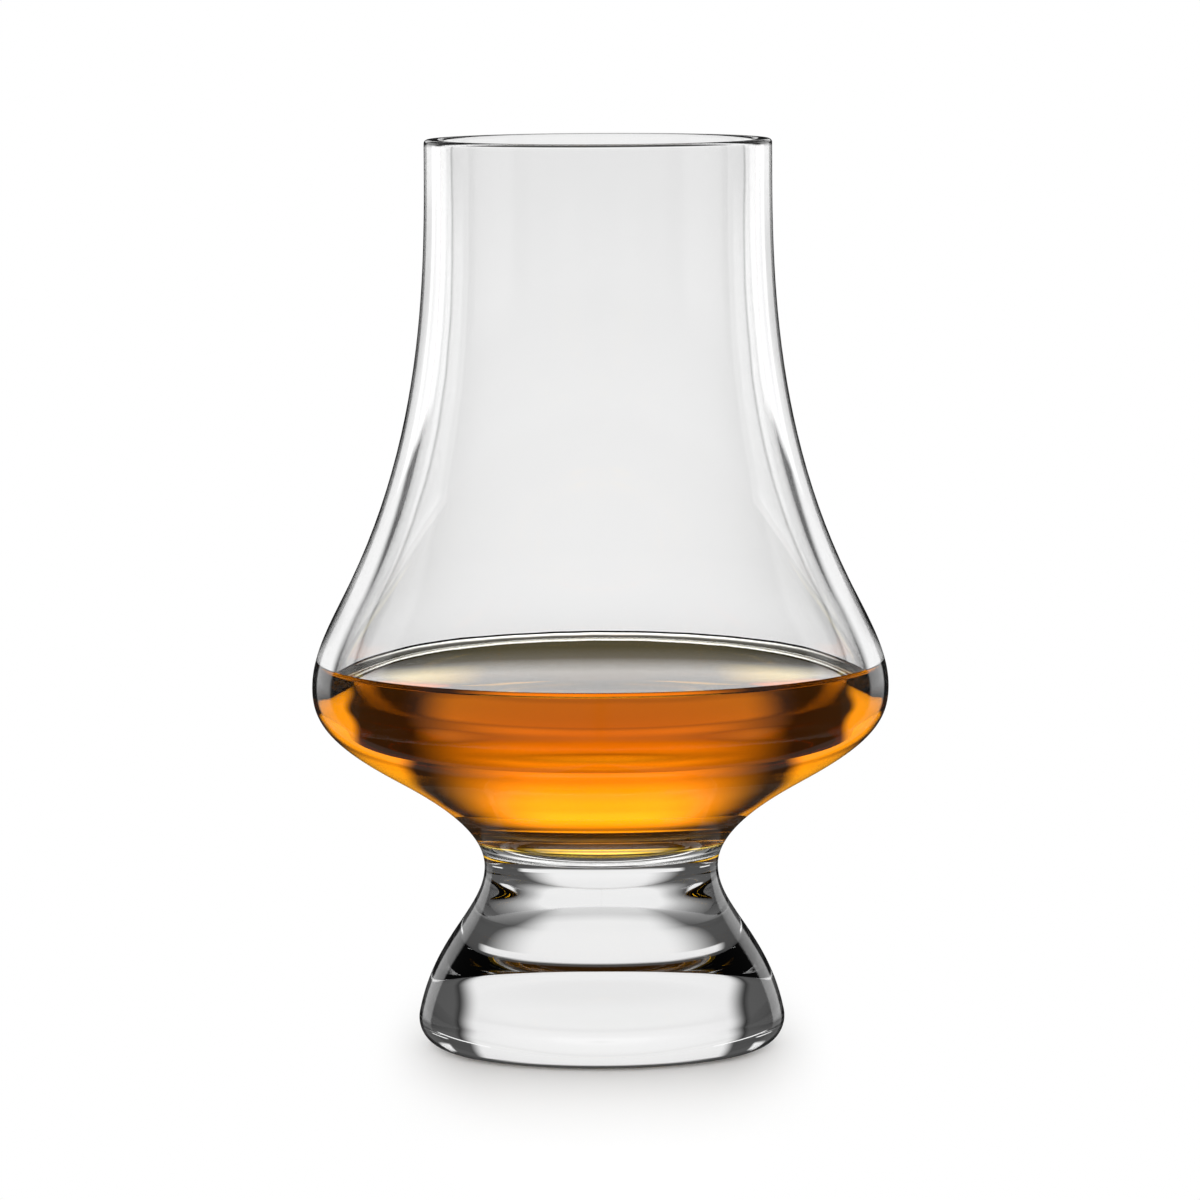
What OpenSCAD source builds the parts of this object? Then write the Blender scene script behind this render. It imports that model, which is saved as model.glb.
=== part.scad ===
// Whisky nosing glass: a tulip bowl fused hot to a solid pressed foot, with a pour of whisky in it.
// Millimetres, +Z up. The origin is the middle of the ring that the glass stands on.
// Every outline is half a cross-section, with x as the radius and y as the height, turned about Z.

/* [Bowl outside] */
// Height of the glass, from the table to the top of the rim
glass_h = 127; // [120:0.5:140]
// Diameter of the rim
rim_d = 48.4; // [44:0.2:54]
// Diameter of the shoulder, where the bowl draws in fastest above the belly
shoulder_d = 69.6; // [66:0.2:73]
// Height of the shoulder
shoulder_h = 65.5; // [63:0.1:68]
// Inward lean of the wall at the shoulder, in degrees
shoulder_lean = 25.9; // [22:0.1:30]
// Diameter of the belly, the widest part of the glass
belly_d = 80.6; // [77:0.2:84]
// Height of the belly
belly_h = 50.6; // [49:0.1:53]
// Diameter of the hip, where the bowl spreads fastest above the neck
hip_d = 59.6; // [56:0.2:63]
// Height of the hip
hip_h = 38.4; // [36.5:0.1:40]
// Outward lean of the wall at the hip, in degrees
hip_lean = 60.5; // [56:0.1:64]

/* [Bowl wall] */
// Thickness of the wall at the rim, which is melted to a full round
rim_wall = 2.2; // [1.2:0.1:3]
// Thickness of the wall at the shoulder
shoulder_wall = 3; // [1.4:0.1:3.4]
// Thickness of the wall at the belly
belly_wall = 2.7; // [1.6:0.1:3.6]
// Thickness of the wall at the hip
hip_wall = 4.1; // [2.8:0.1:5.2]
// How far the widest place inside lies below the widest place outside
belly_drop = 2.3; // [0:0.1:4]
// Height of the lowest point inside the bowl
floor_h = 27.5; // [26.8:0.1:29]

/* [Foot] */
// Diameter of the neck, the narrowest part, where the bowl is fused to the foot
neck_d = 32.7; // [30:0.1:35]
// Height of the neck
neck_h = 25.3; // [24:0.1:26.5]
// Diameter of the foot
foot_d = 51.3; // [48:0.1:56]
// Radius of the round corner between the foot's side and its underside
heel_r = 4; // [3:0.1:5]
// Inward lean of the foot's side where it leaves the round corner, in degrees
heel_lean = 11.2; // [5:0.1:20]
// Width of the flat ring that touches the table
rest_w = 1.6; // [1:0.1:3]
// Depth of the hollow under the foot, at its middle
punt_depth = 3.4; // [1:0.1:4]
// Power by which the hollow falls away from its middle to the ring: higher is flatter
punt_power = 6; // [2:1:9]

/* [Whisky] */
// Height of the whisky's flat surface
fill_h = 53.4; // [46:0.2:62]
// How far the whisky climbs up the wall
meniscus_h = 1; // [0.5:0.1:1.5]
// Width of the curved edge of the surface
meniscus_w = 1.8; // [1:0.1:3]

/* [Detail] */
// Straight steps in each stretch of an outline
steps = 14; // [8:2:20]

/* [Hidden] */
$fn = 96;
upright = 0;
level = 90;

// Lengths of the two handles of each stretch, as shares of the distance between its ends
flank_shares = [0.49, 0.27];
flare_shares = [0.31, 0.26];
hip_shares = [0.61, 0.27];
belly_shares = [0.31, 0.37];
chimney_shares = [0.40, 0.26];
floor_shares = [0.62, 0.44];
// Inner two points of the curved edge of the whisky, as shares of its width and height
meniscus_wall_share = [0.85, 0.35];
meniscus_flat_share = [0.45, 0];

// Places on the outside of the glass that its outlines pass through
neck = [neck_d / 2, neck_h];
hip = [hip_d / 2, hip_h];
belly = [belly_d / 2, belly_h];
shoulder = [shoulder_d / 2, shoulder_h];
rim = [rim_d / 2, glass_h - rim_wall / 2];
heel_middle = [foot_d / 2 - heel_r, heel_r];
heel_top = heel_middle + heel_r * across(-heel_lean);

// Radius of the hollow where it meets the ring
punt_r = heel_middle.x - rest_w;

// Direction along a wall that leans outward by an angle, and the one square to it
function along(lean) = [sin(lean), cos(lean)];
function across(lean) = [cos(lean), -sin(lean)];

// Points of a cubic curve from a to d, with b and c as its handles
function curve(a, b, c, d) = [for (i = [0 : steps]) let (t = i / steps, s = 1 - t)
    s * s * s * a + 3 * s * s * t * b + 3 * s * t * t * c + t * t * t * d];

// Points of the hollow under the foot, from its middle out to the ring
function hollow() = [for (i = [0 : steps]) let (share = sin(level * i / steps))
    [punt_r * share, punt_depth * (1 - pow(share, punt_power))]];

// Points of a wall that leaves p at one lean and reaches q at another
function stretch(p, p_lean, q, q_lean, shares) = let (far = norm(q - p))
    curve(p, p + shares[0] * far * along(p_lean), q - shares[1] * far * along(q_lean), q);

// Points of a round stretch about middle, between two angles from the level
function arc(middle, r, from, to) = [for (i = [0 : steps]) let (a = from + (to - from) * i / steps)
    middle + r * [cos(a), sin(a)]];

// Wall from the lower hip to the rim, set in by the walls at its stations, with its belly lowered by drop
function upper_wall(walls, drop) = let (
    low = hip - walls[0] * across(hip_lean),
    wide = belly - [walls[1], drop],
    high = shoulder - walls[2] * across(-shoulder_lean),
    top = rim - walls[3] * across(upright))
    concat(stretch(low, hip_lean, wide, upright, hip_shares),
           stretch(wide, upright, high, -shoulder_lean, belly_shares),
           stretch(high, -shoulder_lean, top, upright, chimney_shares));

// The bowl's outer and inner walls, both from the bottom upward
bowl_outside = concat(stretch(neck, upright, hip, hip_lean, flare_shares), upper_wall([0, 0, 0, 0], 0));
walls = [hip_wall, belly_wall, shoulder_wall, rim_wall];
inner_hip = hip - hip_wall * across(hip_lean);
bowl_inside = concat(stretch([0, floor_h], level, inner_hip, hip_lean, floor_shares),
    upper_wall(walls, belly_drop));

// Where the whisky's edge meets the wall
edge_h = fill_h + meniscus_h;
edge_r = lookup(edge_h, [for (p = bowl_inside) [p.y, p.x]]);
edge_inner = [edge_r - meniscus_w, fill_h];
edge_size = [meniscus_w, meniscus_h];

// Outline with the repeated points at the joins of its stretches taken out
function joined(points) = [for (i = [0 : len(points) - 1])
    if (i == 0 || norm(points[i] - points[max(i - 1, 0)]) > 0) points[i]];

function reversed(points) = [for (i = [1 : len(points)]) points[len(points) - i]];

// Blown bowl: tulip wall, fire-polished rim and the thick base above the neck
module bowl() {
    rim_middle = rim - rim_wall / 2 * across(upright);
    rim_round = arc(rim_middle, rim_wall / 2, 0, 180);
    color([0.87, 0.92, 0.94, 0.35])
        rotate_extrude()
            polygon(joined(concat([[0, neck_h]], bowl_outside, rim_round, reversed(bowl_inside))));
}

// Pressed foot: solid glass, flared from the neck to a rounded heel, hollowed inside its ring
module foot() {
    heel = arc(heel_middle, heel_r, -level, heel_lean);
    flank = stretch(heel_top, -heel_lean, neck, upright, flank_shares);
    color([0.87, 0.92, 0.94, 0.35])
        rotate_extrude()
            polygon(joined(concat(hollow(), heel, flank, [[0, neck_h]])));
}

// Pour of whisky: it fills the inside of the bowl to a surface that curls up at the wall
module whisky() {
    wetted = [for (p = bowl_inside) if (p.y < edge_h) p];
    edge = curve([edge_r, edge_h],
                 edge_inner + [for (i = [0, 1]) edge_size[i] * meniscus_wall_share[i]],
                 edge_inner + [for (i = [0, 1]) edge_size[i] * meniscus_flat_share[i]],
                 edge_inner);
    color([0.86, 0.45, 0.06, 0.85])
        rotate_extrude()
            polygon(joined(concat(wetted, edge, [[0, fill_h]])));
}

bowl();
foot();
whisky();
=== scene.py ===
import logging
import math
from dataclasses import dataclass, field
from enum import Enum

import bpy
from mathutils import Euler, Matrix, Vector


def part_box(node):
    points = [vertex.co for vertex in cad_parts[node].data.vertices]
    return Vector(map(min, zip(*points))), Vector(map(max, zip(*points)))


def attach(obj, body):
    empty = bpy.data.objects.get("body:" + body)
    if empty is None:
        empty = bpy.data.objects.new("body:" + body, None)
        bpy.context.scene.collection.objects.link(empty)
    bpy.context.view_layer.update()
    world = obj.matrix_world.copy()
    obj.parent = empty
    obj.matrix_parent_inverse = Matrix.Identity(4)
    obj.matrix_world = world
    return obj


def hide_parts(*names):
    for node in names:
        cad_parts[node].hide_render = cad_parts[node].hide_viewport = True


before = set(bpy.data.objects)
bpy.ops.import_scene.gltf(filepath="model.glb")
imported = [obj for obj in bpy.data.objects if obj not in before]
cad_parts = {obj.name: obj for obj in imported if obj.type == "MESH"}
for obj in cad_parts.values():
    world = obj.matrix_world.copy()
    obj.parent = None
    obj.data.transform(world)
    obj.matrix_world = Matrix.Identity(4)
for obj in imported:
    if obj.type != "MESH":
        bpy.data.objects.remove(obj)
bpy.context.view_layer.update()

MM = 0.001
# Points closer than this are merged where a spin closes and at its poles
MERGE = 0.002 * MM
# Lean of a level wall, in degrees
LEVEL = 90.0
LOG = logging.getLogger("nosing_glass")

Point = tuple[float, float]


class Ray(Enum):
    """The kinds of ray that the studio tells apart, by their Light Path sockets."""

    CAMERA = "Is Camera Ray"
    GLOSSY = "Is Glossy Ray"
    TRANSMISSION = "Is Transmission Ray"


class Count(Enum):
    """What the studio counts along a ray, by its Light Path sockets."""

    REFLECTIONS = "Glossy Depth"
    CROSSINGS = "Transmission Depth"


@dataclass(frozen=True)
class Station:
    """A place on a wall that its outline passes through.

    Attributes:
        radius: Distance from the axis, in metres.
        height: Height above the table, in metres.
        lean: Outward lean of the wall there, in degrees from upright.
    """

    radius: float
    height: float
    lean: float = 0.0

    def place(self) -> Vector:
        """The station as a point of the outline."""
        return Vector((self.radius, self.height))

    def along(self) -> Vector:
        """Unit direction up along the wall."""
        return Vector((math.sin(math.radians(self.lean)), math.cos(math.radians(self.lean))))

    def across(self) -> Vector:
        """Unit direction square to the wall, out of the glass."""
        return Vector((math.cos(math.radians(self.lean)), -math.sin(math.radians(self.lean))))

    def set_in(self, wall: float) -> "Station":
        """The station on the inner side of a wall of this thickness."""
        place = self.place() - self.across() * wall
        return Station(place.x, place.y, self.lean)


def curve(ends: tuple[Vector, Vector], handles: tuple[Vector, Vector], steps: int) -> list[Point]:
    """Points of a cubic curve, both ends included.

    Args:
        ends: Where the curve starts and stops.
        handles: Its two inner points.
        steps: How many straight steps it is cut into.

    Returns:
        The points, in order.
    """
    points = []
    for i in range(steps + 1):
        t = i / steps
        s = 1 - t
        p = ends[0] * s**3 + handles[0] * 3 * s**2 * t + handles[1] * 3 * s * t**2 + ends[1] * t**3
        points.append((p.x, p.y))
    return points


def stretch(start: Station, end: Station, shares: tuple[float, float], steps: int) -> list[Point]:
    """Points of a wall that leaves one station at its lean and reaches the next at its own.

    Args:
        start: The lower station.
        end: The upper station.
        shares: Lengths of the two handles, as shares of the distance between the stations.
        steps: How many straight steps it is cut into.

    Returns:
        The points, from start to end.
    """
    a, d = start.place(), end.place()
    far = (d - a).length
    handles = (a + start.along() * far * shares[0], d - end.along() * far * shares[1])
    return curve((a, d), handles, steps)


def arc(middle: Vector, radius: float, span: tuple[float, float], steps: int) -> list[Point]:
    """Points of a round stretch.

    Args:
        middle: Middle of the circle.
        radius: Its radius.
        span: First and last angle from the level, in degrees.
        steps: How many straight steps it is cut into.

    Returns:
        The points, from the first angle to the last.
    """
    points = []
    for i in range(steps + 1):
        angle = math.radians(span[0] + (span[1] - span[0]) * i / steps)
        points.append((middle.x + radius * math.cos(angle), middle.y + radius * math.sin(angle)))
    return points


def turn_outline(name: str, outline: list[Point], segments: int) -> bpy.types.Object:
    """Models a round piece as by hand: a point is extruded along half a cross-section, then spun.

    Args:
        name: Name of the new piece.
        outline: Half a cross-section that starts and ends on the axis, as (radius, height).
        segments: How many steps the spin takes.

    Returns:
        The piece, with its place in its mesh, closed and with its faces outward.
    """
    tiny = 1e-7
    kept = [p for i, p in enumerate(outline) if i == 0 or math.dist(p, outline[i - 1]) > tiny]
    bpy.ops.object.select_all(action="DESELECT")
    bpy.ops.mesh.primitive_plane_add(size=MM, location=(kept[0][0], 0, kept[0][1]))
    piece = bpy.context.active_object
    bpy.ops.object.transform_apply(location=True, rotation=True, scale=True)
    bpy.ops.object.mode_set(mode="EDIT")
    bpy.ops.mesh.merge(type="CENTER")
    for (r0, z0), (r1, z1) in zip(kept, kept[1:]):
        bpy.ops.mesh.extrude_region_move(TRANSFORM_OT_translate={"value": (r1 - r0, 0, z1 - z0)})
    bpy.ops.mesh.select_all(action="SELECT")
    bpy.ops.mesh.spin(steps=segments, angle=math.tau, center=(0, 0, 0), axis=(0, 0, 1))
    bpy.ops.mesh.select_all(action="SELECT")
    bpy.ops.mesh.remove_doubles(threshold=MERGE)
    bpy.ops.mesh.normals_make_consistent(inside=False)
    bpy.ops.object.mode_set(mode="OBJECT")
    bpy.ops.object.shade_smooth()
    piece.name = piece.data.name = name
    return piece


def clear_material(name: str, ior: float) -> bpy.types.Material:
    """A smooth and colourless material that light passes through.

    Args:
        name: Its name.
        ior: How strongly it bends light.

    Returns:
        The material.
    """
    material = bpy.data.materials.new(name)
    material.use_nodes = True
    inputs = material.node_tree.nodes["Principled BSDF"].inputs
    inputs["Base Color"].default_value = (1, 1, 1, 1)
    inputs["Roughness"].default_value = 0.0
    inputs["Transmission Weight"].default_value = 1.0
    inputs["IOR"].default_value = ior
    return material


@dataclass(frozen=True)
class ClearGlass:
    """Clear soda-lime glass, fire-polished, with the faint waves of a blown and pressed wall.

    Attributes:
        name: Name of the material.
        ior: How strongly it bends light.
        wave_size: Width of the waves, in metres.
        wave_depth: Their depth, in metres.
        gloss: Share of its reflection that it keeps: none where liquid wets it.
    """

    name: str = "clear_glass"
    ior: float = 1.52
    wave_size: float = 9 * MM
    wave_depth: float = 0.012 * MM
    gloss: float = 1.0

    def make(self) -> bpy.types.Material:
        """Builds the material."""
        material = clear_material(self.name, self.ior)
        nodes, links = material.node_tree.nodes, material.node_tree.links
        shader = nodes["Principled BSDF"]
        shader.inputs["Specular Tint"].default_value = (*[self.gloss] * 3, 1)
        place = nodes.new("ShaderNodeTexCoord")
        noise = nodes.new("ShaderNodeTexNoise")
        noise.inputs["Scale"].default_value = 1 / self.wave_size
        noise.inputs["Detail"].default_value = 1.0
        bump = nodes.new("ShaderNodeBump")
        bump.inputs["Strength"].default_value = 1.0
        bump.inputs["Distance"].default_value = self.wave_depth
        links.new(place.outputs["Object"], noise.inputs["Vector"])
        links.new(noise.outputs["Fac"], bump.inputs["Height"])
        links.new(bump.outputs["Normal"], shader.inputs["Normal"])
        return material


@dataclass(frozen=True)
class Spirit:
    """Amber spirit: clear, coloured only by the depth of liquid that light has crossed.

    Attributes:
        open_height: Height above which its surface is open to the air, in metres.
        open_radius: Radius inside which it is open, in metres. The rest lies against the glass and
            has no reflection.
        name: Name of the material.
        ior: How strongly it bends light.
        kept: Share of red, green and blue light left after crossing one reach of liquid.
        reach: The depth that kept is given for, in metres.
    """

    open_height: float
    open_radius: float
    name: str = "whisky"
    ior: float = 1.36
    kept: tuple[float, float, float] = (0.934, 0.39, 0.0037)
    reach: float = 40 * MM

    def absorption(self) -> tuple[tuple[float, float, float, float], float]:
        """Colour and density of a Volume Absorption that keeps those shares."""
        rates = [-math.log(share) / self.reach for share in self.kept]
        density = max(rates)
        colour = [1 - rate / density for rate in rates]
        return (*colour, 1.0), density

    def make(self) -> bpy.types.Material:
        """Builds the material."""
        material = clear_material(self.name, self.ior)
        nodes, links = material.node_tree.nodes, material.node_tree.links
        shader = nodes["Principled BSDF"]
        maths = Maths(nodes, links)
        place = nodes.new("ShaderNodeTexCoord")
        split = nodes.new("ShaderNodeSeparateXYZ")
        links.new(place.outputs["Object"], split.inputs["Vector"])
        x, y, z = (split.outputs[axis] for axis in "XYZ")
        square = maths.node("ADD", maths.node("POWER", x, 2.0), maths.node("POWER", y, 2.0))
        radius = maths.node("SQRT", square)
        inside = maths.node("LESS_THAN", radius, self.open_radius)
        above = maths.node("GREATER_THAN", z, self.open_height)
        links.new(maths.node("MULTIPLY", inside, above), shader.inputs["Specular Tint"])
        volume = nodes.new("ShaderNodeVolumeAbsorption")
        colour, density = self.absorption()
        volume.inputs["Color"].default_value = colour
        volume.inputs["Density"].default_value = density
        links.new(volume.outputs["Volume"], nodes["Material Output"].inputs["Volume"])
        return material


@dataclass
class Glass:
    """The bowl and the foot, fused into one body of glass.

    Its heights and its widest part come from the CAD nodes, and the rest are its own sizes in metres.

    Attributes:
        shoulder: Where the bowl draws in fastest above the belly.
        hip: Where the bowl spreads fastest above the neck.
        belly_height: Height of the widest place.
        rim_radius: Radius of the rim.
        neck_radius: Radius of the narrowest place, where the bowl is fused to the foot.
        foot_radius: Radius of the foot.
        floor_height: Height of the lowest point inside the bowl.
        rim_wall: Thickness of the wall at the rim.
        rim_edge: Radius of the rim's two round corners.
        shoulder_wall: Thickness of the wall at the shoulder.
        belly_wall: Thickness of the wall at the belly.
        hip_wall: Thickness of the wall at the hip.
        belly_drop: How far the widest place inside lies below the widest place outside.
        heel_radius: Radius of the corner between the foot's side and its underside.
        heel_lean: Lean of the foot's side where it leaves that corner, in degrees.
        rest_width: Width of the flat ring that touches the table.
        punt_depth: Depth of the hollow under the foot, at its middle.
        punt_power: Power by which the hollow falls away from its middle to the ring.
        pour_drop: How far the edge of the pour lies below the edge of its CAD node.
        flank_shares: Handles of the foot's side, as shares of the distance between its ends.
        flare_shares: The same for the wall from the neck to the hip.
        hip_shares: The same from the hip to the belly.
        belly_shares: The same from the belly to the shoulder.
        chimney_shares: The same from the shoulder to the rim.
        floor_shares: The same for the inside, from the middle of the floor to the hip.
        fine_steps: Straight steps in each stretch.
        round_steps: Straight steps in each round corner.
        punt_steps: Straight steps in the hollow.
        segments: Steps round the axis.
        floor_margin: How far below the floor the faces that the pour wets may lie.
        floor_rise: Least upward part of the normal of a face of the floor.
        neck: The neck, at the height of the foot's CAD node.
        belly: The belly, as wide as the bowl's CAD node.
        rim: The rim, as high as the bowl's CAD node.
    """

    shoulder: Station = Station(34.8 * MM, 65.5 * MM, -25.9)
    hip: Station = Station(29.8 * MM, 38.4 * MM, 60.5)
    belly_height: float = 50.6 * MM
    rim_radius: float = 24.2 * MM
    neck_radius: float = 16.35 * MM
    foot_radius: float = 25.65 * MM
    floor_height: float = 27.5 * MM
    rim_wall: float = 2.2 * MM
    rim_edge: float = 0.55 * MM
    shoulder_wall: float = 3 * MM
    belly_wall: float = 2.7 * MM
    hip_wall: float = 4.1 * MM
    belly_drop: float = 2.3 * MM
    heel_radius: float = 4 * MM
    heel_lean: float = -11.2
    rest_width: float = 1.6 * MM
    punt_depth: float = 3.4 * MM
    punt_power: float = 6.0
    pour_drop: float = 0.9 * MM
    flank_shares: tuple[float, float] = (0.49, 0.27)
    flare_shares: tuple[float, float] = (0.31, 0.26)
    hip_shares: tuple[float, float] = (0.61, 0.27)
    belly_shares: tuple[float, float] = (0.31, 0.37)
    chimney_shares: tuple[float, float] = (0.40, 0.26)
    floor_shares: tuple[float, float] = (0.62, 0.44)
    fine_steps: int = 26
    round_steps: int = 14
    punt_steps: int = 40
    segments: int = 256
    floor_margin: float = 0.5 * MM
    floor_rise: float = 0.9
    neck: Station = field(init=False)
    belly: Station = field(init=False)
    rim: Station = field(init=False)

    def __post_init__(self) -> None:
        """Takes the heights and the widest part from the CAD nodes."""
        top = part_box("bowl")[1]
        neck_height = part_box("foot")[1][2]
        self.neck = Station(self.neck_radius, neck_height)
        self.belly = Station(top[0], self.belly_height)
        self.rim = Station(self.rim_radius, top[2] - self.rim_wall / 2)

    def upper_wall(
        self, walls: tuple[float, float, float, float] = (0, 0, 0, 0), drop: float = 0
    ) -> list[Point]:
        """Points of the wall from the hip to the rim.

        Args:
            walls: How far each of its four stations is set in.
            drop: How far its widest place is lowered.

        Returns:
            The points, from the hip up.
        """
        belly = Station(self.belly.radius, self.belly.height - drop)
        stations = (self.hip, belly, self.shoulder, self.rim)
        low, wide, high, top = (s.set_in(w) for s, w in zip(stations, walls))
        return (
            stretch(low, wide, self.hip_shares, self.fine_steps)
            + stretch(wide, high, self.belly_shares, self.fine_steps)
            + stretch(high, top, self.chimney_shares, self.fine_steps)
        )

    def wetted_height(self) -> float:
        """Height to which the pour wets the wall."""
        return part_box("whisky")[1][2] - self.pour_drop

    def outside(self) -> list[Point]:
        """Points of the outer wall, from the neck up to the rim."""
        flare = stretch(self.neck, self.hip, self.flare_shares, self.fine_steps)
        return flare + self.upper_wall()

    def inside(self) -> list[Point]:
        """Points of the inner wall, from the middle of the bowl's floor up to the rim."""
        walls = (self.hip_wall, self.belly_wall, self.shoulder_wall, self.rim_wall)
        floor = Station(0, self.floor_height, LEVEL)
        bottom = stretch(floor, self.hip.set_in(self.hip_wall), self.floor_shares, self.fine_steps)
        return bottom + self.upper_wall(walls, self.belly_drop)

    def foot_outline(self) -> list[Point]:
        """Points from the middle of the hollow underside, round the heel and up to the neck."""
        middle = Vector((self.foot_radius - self.heel_radius, self.heel_radius))
        ring = middle.x - self.rest_width
        punt = []
        for i in range(self.punt_steps + 1):
            share = math.sin(math.pi / 2 * i / self.punt_steps)
            punt.append((ring * share, self.punt_depth * (1 - share**self.punt_power)))
        heel = arc(middle, self.heel_radius, (-90, -self.heel_lean), self.round_steps)
        top = Station(heel[-1][0], heel[-1][1], self.heel_lean)
        return punt + heel + stretch(top, self.neck, self.flank_shares, self.fine_steps)

    def build(self) -> bpy.types.Object:
        """Builds the glass in place of the CAD's bowl and foot, and dresses it."""
        crown, edge = self.rim.place() + Vector((0, self.rim_wall / 2)), self.rim_edge
        rim = arc(crown - Vector((edge, edge)), edge, (0, 90), self.round_steps)
        rim += arc(crown + Vector((edge - self.rim_wall, -edge)), edge, (90, 180), self.round_steps)
        outline = self.foot_outline() + self.outside() + rim + self.inside()[::-1]
        piece = turn_outline("glass", outline, self.segments)
        piece.data.materials.append(ClearGlass().make())
        piece.data.materials.append(ClearGlass("wetted_glass", gloss=0.0).make())
        lowest, highest = self.floor_height - self.floor_margin, self.wetted_height()
        for face in piece.data.polygons:
            inward = face.normal.x * face.center.x + face.normal.y * face.center.y < 0
            upward = face.normal.z > self.floor_rise
            if lowest < face.center.z < highest and (inward or upward):
                face.material_index = 1
        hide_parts("bowl", "foot")
        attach(piece, "root")
        LOG.info("glass: %d faces", len(piece.data.polygons))
        return piece


@dataclass
class Whisky:
    """The pour: it wets the inside of the bowl up to a surface that curls at the wall.

    Attributes:
        glass: The glass that holds it.
        soak: How far its side reaches into the wall, so that no air shows between the two.
        edge_height: How far its surface climbs the wall.
        edge_width: Width of the curved edge of the surface.
        wall_share: Handle of that edge next to the wall, as shares of its width and height.
        flat_share: Its handle next to the flat of the surface, in the same shares.
        edge_steps: Straight steps in that edge.
        edge_reach: How far below the top of the edge its widest point is looked for.
        side_margin: How far inside its widest point the open surface ends.
    """

    glass: Glass
    soak: float = 0.03 * MM
    edge_height: float = 0.9 * MM
    edge_width: float = 1.8 * MM
    wall_share: tuple[float, float] = (0.85, 0.35)
    flat_share: tuple[float, float] = (0.45, 0.0)
    edge_steps: int = 10
    edge_reach: float = 0.01 * MM
    side_margin: float = 0.018 * MM

    def outline(self) -> list[Point]:
        """Half a cross-section, from the middle of the floor up the wall and back over the top."""
        top = self.glass.wetted_height()
        flat = top - self.edge_height
        wetted = [p for p in self.glass.inside() if p[1] < top]
        above = next(p for p in self.glass.inside() if p[1] >= top)
        below = wetted[-1]
        share = (top - below[1]) / (above[1] - below[1])
        wall = below[0] + (above[0] - below[0]) * share
        inner = Vector((wall - self.edge_width, flat))
        size = Vector((self.edge_width, self.edge_height))
        handles = tuple(
            inner + Vector((size.x * s[0], size.y * s[1])) for s in (self.wall_share, self.flat_share)
        )
        edge = curve((Vector((wall, top)), inner), handles, self.edge_steps)
        side = self.soaked(wetted + [(wall, top)])
        return side + edge[1:] + [(0, flat)]

    def soaked(self, side: list[Point]) -> list[Point]:
        """The wetted wall moved into the glass by the soak, square to itself.

        Args:
            side: Points of the wetted wall, from the middle of the floor up.

        Returns:
            The moved points, in the same order.
        """
        moved = [(0.0, side[0][1] - self.soak)]
        for before, here, after in zip(side, side[1:], side[2:] + side[-1:]):
            run = Vector((after[0] - before[0], after[1] - before[1])).normalized()
            moved.append((here[0] + run.y * self.soak, here[1] - run.x * self.soak))
        return moved

    def build(self) -> bpy.types.Object:
        """Builds the whisky in place of its CAD node, and dresses it."""
        piece = turn_outline("pour", self.outline(), self.glass.segments)
        top = self.glass.wetted_height()
        flat = top - self.edge_height
        edge = max(p[0] for p in self.outline() if p[1] > top - self.edge_reach)
        piece.data.materials.append(Spirit(flat - self.soak, edge - self.side_margin).make())
        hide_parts("whisky")
        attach(piece, "root")
        LOG.info("pour: %d faces", len(piece.data.polygons))
        return piece


@dataclass(frozen=True)
class Panel:
    """A lit patch of the studio round the glass, placed by its direction.

    Attributes:
        sides: First and last turn it covers, in degrees to either side of the line behind the glass.
        shades: Its brightness at some elevations, in degrees above the horizon.
        fade: How softly its sides stop, in degrees.
        lean: How far its sides turn outward with each degree of elevation above the horizon.
    """

    sides: tuple[float, float]
    shades: tuple[tuple[float, float], ...]
    fade: float = 4.0
    lean: float = 0.0


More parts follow.
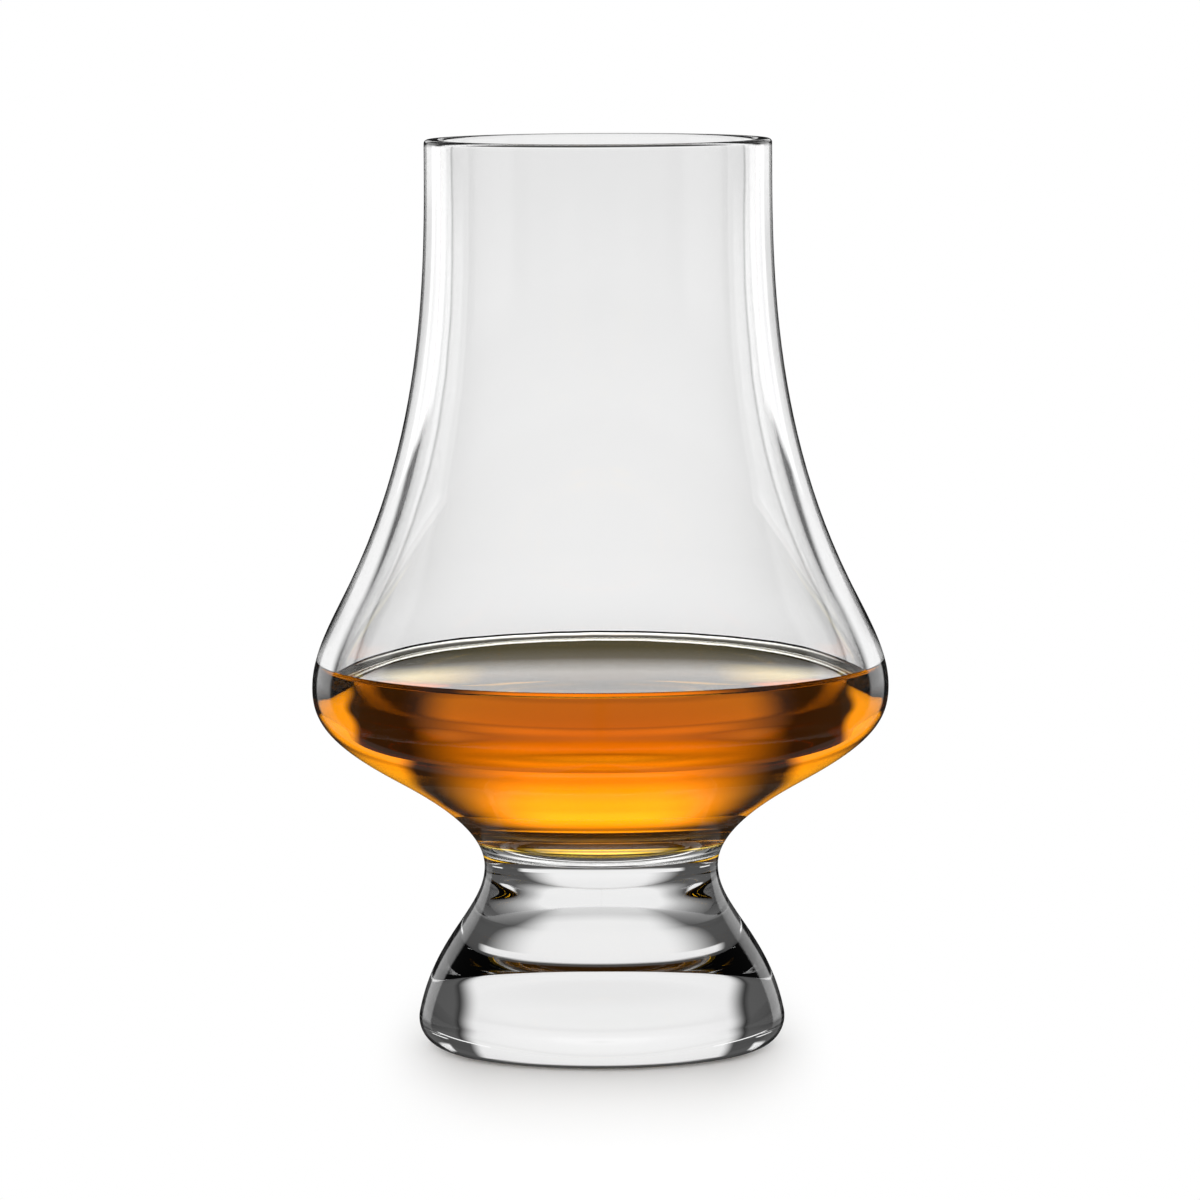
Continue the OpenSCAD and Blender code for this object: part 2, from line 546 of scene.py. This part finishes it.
@dataclass
class Studio:
    """White table and backdrop, with soft light from panels and dark gaps between them.

    These aren't one set of lights. A ray is shown the panels fitted to the part that it came
    through, which are told apart by how many surfaces it crossed and how often it was reflected.

    Attributes:
        foot_panels: The lit patches seen straight through the foot, or the wall's edge.
        echo_panels: The same for light that was also reflected inside the glass.
        bowl_panels: The lit patches seen through the empty part of the bowl, and off the surface of
            the pour.
        spirit_panels: The lit patches seen through the liquid.
        mirror_panels: The lit patches that show in reflections off the outside.
        bowl_depth: Surfaces that light crosses at most on its way through the foot.
        spirit_depth: Surfaces that it crosses at most on its way through the empty bowl.
        echo_depth: Reflections on the way past which echo_panels take over.
        dark: Brightness between the panels.
        dome: Brightness of the light that falls on the table.
        table_size: Width of the table.
        table_colour: How white the table is near the glass.
        near: Distance from the axis where the table fades to a glow of pure white, painted light
            that covers its real shadow, and the fade's width.
        squeeze: How many times closer to the axis that fade lies at the sides, so the shadow that is
            left is painted to trail forward, as if lit from behind.
    """

    foot_panels: tuple[Panel, ...] = (
        # Behind the glass
        Panel((-25, 25), ((-62, 0.9), (-55, 0.6), (-44, 0.62), (-39, 0.9), (8, 0.9), (13, 0.05)), 20),
        Panel((-33, 33), ((-5, 0), (-3, 0.9), (7, 0.9), (9, 0)), 6),
        # Narrow lights to the sides, for the edge of the foot
        Panel((47, 60), ((-2, 0), (-0.5, 1.1), (3, 1.1), (5, 0)), 3),
        Panel((56, 74), ((12, 0), (16, 0.9), (38, 0.9), (42, 0)), 6),
        # The table
        Panel((-1, 181), ((-63, 0.9), (-55, 0.5), (-47, 0.25), (-38, 0.06), (40, 0.06), (60, 0.2))),
    )
    echo_panels: tuple[Panel, ...] = (
        # Behind the glass
        Panel(
            (-34, 34),
            ((-9, 0), (-3, 0.9), (8, 0.9), (11, 0.85), (12, 0.85), (14, 0.9), (38, 0.95), (41.5, 0)),
            8,
        ),
        # The sides, for the wall of the chimney and for the foot
        Panel((26, 52), ((-8, 0), (-5, 1.2), (1.5, 1.2), (3, 0)), 4),
        Panel((56, 74), ((12, 0), (16, 0.9), (38, 0.9), (42, 0)), 6),
        # The table
        Panel((38, 181), ((-63, 0.9), (-55, 0.5), (-47, 0.25), (-38, 0.08), (40, 0.08), (60, 0.2))),
        Panel(
            (-1, 38),
            ((-63, 0.9), (-58, 0.1), (-50, 0.1), (-44, 0.25), (-40, 0.02), (41, 0.02), (60, 0.2)),
        ),
    )
    bowl_panels: tuple[Panel, ...] = (
        # Behind the glass, from the table up
        Panel((-14.5, 14.5), ((-60, 2.0), (-50, 1.6), (-40, 0.05), (-16, 0.05), (-12, 0)), 3),
        Panel((-14.5, 14.5), ((-16, 0), (-12, 1.02), (-7, 1.02), (-3, 0.88), (1, 0.84), (2, 0)), 3),
        # Above the backdrop, for the surface of the pour
        Panel(
            (-14.5, 14.5),
            ((1, 0), (2, 0.8), (4.5, 0.8), (6, 1.1), (7, 0.6), (7.6, 0.2), (9, 0.03)),
            3,
        ),
        # The sides, for the bright bands of the wall
        Panel(
            (14.5, 62),
            ((-60, 1.6), (-40, 1.25), (-6, 1.25), (-2, 1.12), (8, 1.12), (14, 0.8), (20, 0.2)),
            3,
        ),
        Panel((14, 181), ((-60, 1.2), (-50, 0.2), (90, 0.2))),
        # Beside and before the glass, for other viewpoints
        Panel((70, 112), ((-16, 0), (-10, 0.9), (4, 0.9), (8, 0)), 10),
        Panel((125, 182), ((-16, 0), (-10, 0.5), (4, 0.5), (8, 0)), 10),
    )
    spirit_panels: tuple[Panel, ...] = (
        # Behind the glass, level, high and low
        Panel((-19.5, 19.5), ((-4, 0), (-1, 0.67), (5, 0.68), (8, 0)), 8),
        Panel(
            (-16, 16),
            ((4, 0), (7, 0.9), (9, 1.05), (12, 1.4), (14, 2.0), (18, 2.5), (24, 1.1), (28, 0.1)),
            20,
        ),
        Panel(
            (-13, 13),
            ((-33, 0.1), (-28, 1.4), (-22, 2.8), (-16, 2.8), (-13, 2.3), (-7, 1.4), (-2, 0.8), (0, 0)),
            18,
        ),
        # The sides, for the orange bands at the edge of the liquid
        Panel((34, 56), ((-3, 0), (1, 1.45), (8, 1.5), (12, 1.7), (16, 2.0), (20, 0)), 5, 0.8),
        Panel((25, 60), ((-30, 1.0), (-20, 2.0), (-8, 2.0), (-3, 0)), 5),
        # Before and beside the glass
        Panel((140, 182), ((3, 0), (5, 1.6), (14, 1.6), (17, 0)), 10),
        Panel((72, 112), ((-1, 0), (1, 0.65), (9, 1.0), (16, 1.8), (22, 1.8), (28, 0)), 10),
        Panel((-1, 181), ((-33, 0.01), (-24, 0.02), (60, 0.02), (90, 0.05))),
    )
    mirror_panels: tuple[Panel, ...] = (
        # The sides, for the edges of the wall
        Panel(
            (23, 43),
            ((-30, 0.1), (-14, 0.15), (-7, 0.4), (-3, 1.0), (14, 1.0), (20, 0.5), (30, 0.1)),
        ),
        # Behind the glass, for the top of the rim
        Panel((-20, 20), ((4, 0), (6, 1.0), (13, 1.0), (16, 0))),
        # Before the glass
        Panel((100, 181), ((-50, 0), (-40, 0.2), (16, 0.2), (24, 0)), 16),
    )
    bowl_depth: float = 3.0
    spirit_depth: float = 5.0
    echo_depth: float = 0.5
    dark: float = 0.02
    dome: float = 1.25
    table_size: float = 3.0
    table_colour: float = 0.86
    near: tuple[float, float] = (0.108, 0.066)
    squeeze: float = 4.3

    def build(self) -> None:
        """Builds the world and the table."""
        self.build_world()
        self.build_table()

    def build_world(self) -> None:
        """Builds pure white for the camera, the panels for the glass and a dome for the table."""
        world = bpy.data.worlds.new("studio")
        bpy.context.scene.world = world
        world.use_nodes = True
        nodes, links = world.node_tree.nodes, world.node_tree.links
        nodes.clear()
        maths = Maths(nodes, links)
        path = nodes.new("ShaderNodeLightPath")
        direct, glossy, through = (path.outputs[ray.value] for ray in Ray)
        place = nodes.new("ShaderNodeTexCoord")
        split = nodes.new("ShaderNodeSeparateXYZ")
        links.new(place.outputs["Generated"], split.inputs["Vector"])
        x, y, z = (split.outputs[axis] for axis in "XYZ")
        turn = maths.degrees(maths.node("ARCTAN2", x, y))
        height = maths.degrees(maths.node("ARCSINE", z))
        foot, echo, bowl, spirit, mirror = (
            self.pattern(maths, turn, height, panels)
            for panels in (
                self.foot_panels,
                self.echo_panels,
                self.bowl_panels,
                self.spirit_panels,
                self.mirror_panels,
            )
        )
        bounced = maths.node("GREATER_THAN", path.outputs[Count.REFLECTIONS.value], self.echo_depth)
        foot = maths.between(bounced, foot, echo)
        depth = path.outputs[Count.CROSSINGS.value]
        pattern = maths.between(maths.node("GREATER_THAN", depth, self.bowl_depth), foot, bowl)
        pattern = maths.between(maths.node("GREATER_THAN", depth, self.spirit_depth), pattern, spirit)
        pattern = maths.between(through, maths.node("MULTIPLY", mirror, glossy), pattern)
        other = maths.node("SUBTRACT", 1.0, maths.node("MAXIMUM", through, glossy))
        lit = maths.node("ADD", pattern, self.dark)
        lit = maths.node("ADD", lit, maths.node("MULTIPLY", other, self.dome))
        background = nodes.new("ShaderNodeBackground")
        output = nodes.new("ShaderNodeOutputWorld")
        links.new(maths.between(direct, lit, 1.0), background.inputs["Color"])
        links.new(background.outputs[0], output.inputs["Surface"])

    def pattern(
        self,
        maths: "Maths",
        turn: bpy.types.NodeSocket,
        height: bpy.types.NodeSocket,
        panels: tuple[Panel, ...],
    ) -> bpy.types.NodeSocket:
        """A socket with the brightness of some panels in every direction.

        Args:
            maths: Adds the nodes.
            turn: Turn of the direction in degrees, 0 behind the glass.
            height: Its elevation in degrees.
            panels: The lit patches.

        Returns:
            The socket.
        """
        total = None
        aside = maths.node("ABSOLUTE", turn)
        rise = maths.node("MAXIMUM", height, 0.0)
        for panel in panels:
            across = maths.node("SUBTRACT", aside, maths.node("MULTIPLY", rise, panel.lean))
            across = maths.window(across, panel.sides, panel.fade)
            patch = maths.node("MULTIPLY", across, maths.steps(height, panel.shades))
            total = patch if total is None else maths.node("MAXIMUM", total, patch)
        return total

    def build_table(self) -> None:
        """Builds the white table, seen by the camera alone, which fades to pure white far off.

        The pure white is a glow, painted light over the table's real shadow outside an oval.
        """
        bpy.ops.object.select_all(action="DESELECT")
        bpy.ops.mesh.primitive_plane_add(size=self.table_size, location=(0, 0, 0))
        table = bpy.context.active_object
        table.name = "table"
        material = bpy.data.materials.new("white_table")
        material.use_nodes = True
        nodes, links = material.node_tree.nodes, material.node_tree.links
        maths = Maths(nodes, links)
        shader = nodes["Principled BSDF"]
        shader.inputs["Base Color"].default_value = (*[self.table_colour] * 3, 1)
        shader.inputs["Roughness"].default_value = 1.0
        shader.inputs["Specular IOR Level"].default_value = 0.0
        white = nodes.new("ShaderNodeEmission")
        white.inputs["Color"].default_value = (1, 1, 1, 1)
        place = nodes.new("ShaderNodeTexCoord")
        length = nodes.new("ShaderNodeVectorMath")
        length.operation = "LENGTH"
        oval = nodes.new("ShaderNodeVectorMath")
        oval.operation = "MULTIPLY"
        oval.inputs[1].default_value = (self.squeeze, 1, 1)
        links.new(place.outputs["Object"], oval.inputs[0])
        links.new(oval.outputs["Vector"], length.inputs[0])
        edge, fade = self.near
        # Painted light: outside this oval the table glows pure white over its real shadow, and the
        # oval reaches further in front than at the sides
        near = maths.window(length.outputs["Value"], (-edge, edge), fade)
        path = nodes.new("ShaderNodeLightPath")
        surface = maths.blend(near, white.outputs[0], shader.outputs[0])
        clear = nodes.new("ShaderNodeBsdfTransparent")
        surface = maths.blend(path.outputs[Ray.CAMERA.value], clear.outputs[0], surface)
        links.new(surface, nodes["Material Output"].inputs["Surface"])
        table.data.materials.append(material)


@dataclass
class Maths:
    """Short way to write sums with shader nodes."""

    nodes: bpy.types.Nodes
    links: bpy.types.NodeLinks

    def node(self, operation: str, *values: "bpy.types.NodeSocket | float") -> bpy.types.NodeSocket:
        """The result of one Math node.

        Args:
            operation: Name of the operation.
            values: Its inputs, each a socket or a number.

        Returns:
            The socket that holds the result.
        """
        node = self.nodes.new("ShaderNodeMath")
        node.operation = operation
        for slot, value in zip(node.inputs, values):
            if isinstance(value, bpy.types.NodeSocket):
                self.links.new(value, slot)
            else:
                slot.default_value = value
        return node.outputs[0]

    def degrees(self, angle: bpy.types.NodeSocket) -> bpy.types.NodeSocket:
        """An angle in degrees."""
        return self.node("DEGREES", angle)

    def window(
        self, value: bpy.types.NodeSocket, span: tuple[float, float], fade: float
    ) -> bpy.types.NodeSocket:
        """A socket that is 1 where a value lies in a span and 0 outside it, with soft ends.

        Args:
            value: The value.
            span: Where it starts and ends.
            fade: Width of each soft end, half of it inside the span.

        Returns:
            The socket.
        """
        half = (span[1] - span[0]) / 2
        off = self.node("ABSOLUTE", self.node("SUBTRACT", value, (span[0] + span[1]) / 2))
        node = self.nodes.new("ShaderNodeMapRange")
        node.interpolation_type = "SMOOTHSTEP"
        node.inputs["From Min"].default_value = half - fade / 2
        node.inputs["From Max"].default_value = half + fade / 2
        node.inputs["To Min"].default_value = 1.0
        node.inputs["To Max"].default_value = 0.0
        self.links.new(off, node.inputs["Value"])
        return node.outputs["Result"]

    def steps(
        self, value: bpy.types.NodeSocket, points: tuple[tuple[float, float], ...]
    ) -> bpy.types.NodeSocket:
        """A socket that follows straight lines through points.

        Args:
            value: The value.
            points: Pairs of a value and its result, in rising order of the value.

        Returns:
            The socket, which keeps the end results past both ends.
        """
        total = points[0][1]
        for (x0, y0), (x1, y1) in zip(points, points[1:]):
            node = self.nodes.new("ShaderNodeMapRange")
            node.inputs["From Min"].default_value = x0
            node.inputs["From Max"].default_value = x1
            node.inputs["To Min"].default_value = 0.0
            node.inputs["To Max"].default_value = y1 - y0
            self.links.new(value, node.inputs["Value"])
            total = self.node("ADD", node.outputs["Result"], total)
        return total

    def between(
        self,
        share: bpy.types.NodeSocket,
        first: "bpy.types.NodeSocket | float",
        second: "bpy.types.NodeSocket | float",
    ) -> bpy.types.NodeSocket:
        """A number that goes from the first to the second as the share goes from 0 to 1."""
        left = self.node("MULTIPLY", self.node("SUBTRACT", 1.0, share), first)
        return self.node("ADD", left, self.node("MULTIPLY", share, second))

    def blend(
        self, share: bpy.types.NodeSocket, first: bpy.types.NodeSocket, second: bpy.types.NodeSocket
    ) -> bpy.types.NodeSocket:
        """A shader that goes from the first to the second as the share goes from 0 to 1."""
        mix = self.nodes.new("ShaderNodeMixShader")
        self.links.new(share, mix.inputs["Fac"])
        self.links.new(first, mix.inputs[1])
        self.links.new(second, mix.inputs[2])
        return mix.outputs[0]


@dataclass
class Viewpoint:
    """The photograph's viewpoint: a long lens a metre away, a little above the rim.

    Attributes:
        distance: Distance from the axis, in metres.
        height: Height above the table, in metres.
        aim_height: Height of the point on the axis that it looks at, in metres.
        picture_pixels: Width of the picture.
        focal_pixels: Focal length, in pixels of that picture.
        sensor: Width of the sensor, in millimetres.
        roll: How far the camera is turned about its own line of sight, in degrees.
    """

    distance: float = 1.0
    height: float = 0.161
    aim_height: float = 62.63 * MM
    picture_pixels: int = 1200
    focal_pixels: float = 7190.0
    sensor: float = 36.0
    roll: float = 0.27

    def build(self) -> None:
        """Creates the camera and makes it the scene's."""
        data = bpy.data.cameras.new("camera")
        data.sensor_width = self.sensor
        data.lens = self.sensor * self.focal_pixels / self.picture_pixels
        camera = bpy.data.objects.new("camera", data)
        bpy.context.scene.collection.objects.link(camera)
        pitch = math.atan2(self.height - self.aim_height, self.distance)
        camera.location = (0, -self.distance, self.height)
        roll = Euler((0, 0, -math.radians(self.roll))).to_matrix()
        camera.rotation_euler = (Euler((math.pi / 2 - pitch, 0, 0)).to_matrix() @ roll).to_euler()
        bpy.context.scene.camera = camera


def main() -> None:
    """Builds the viewpoint, the studio, the glass and its pour."""
    logging.basicConfig(level=logging.INFO, format="%(name)s %(message)s")
    bpy.context.scene.view_settings.view_transform = "Standard"
    Viewpoint().build()
    Studio().build()
    glass = Glass()
    glass.build()
    Whisky(glass).build()


if __name__ == "__main__":
    main()
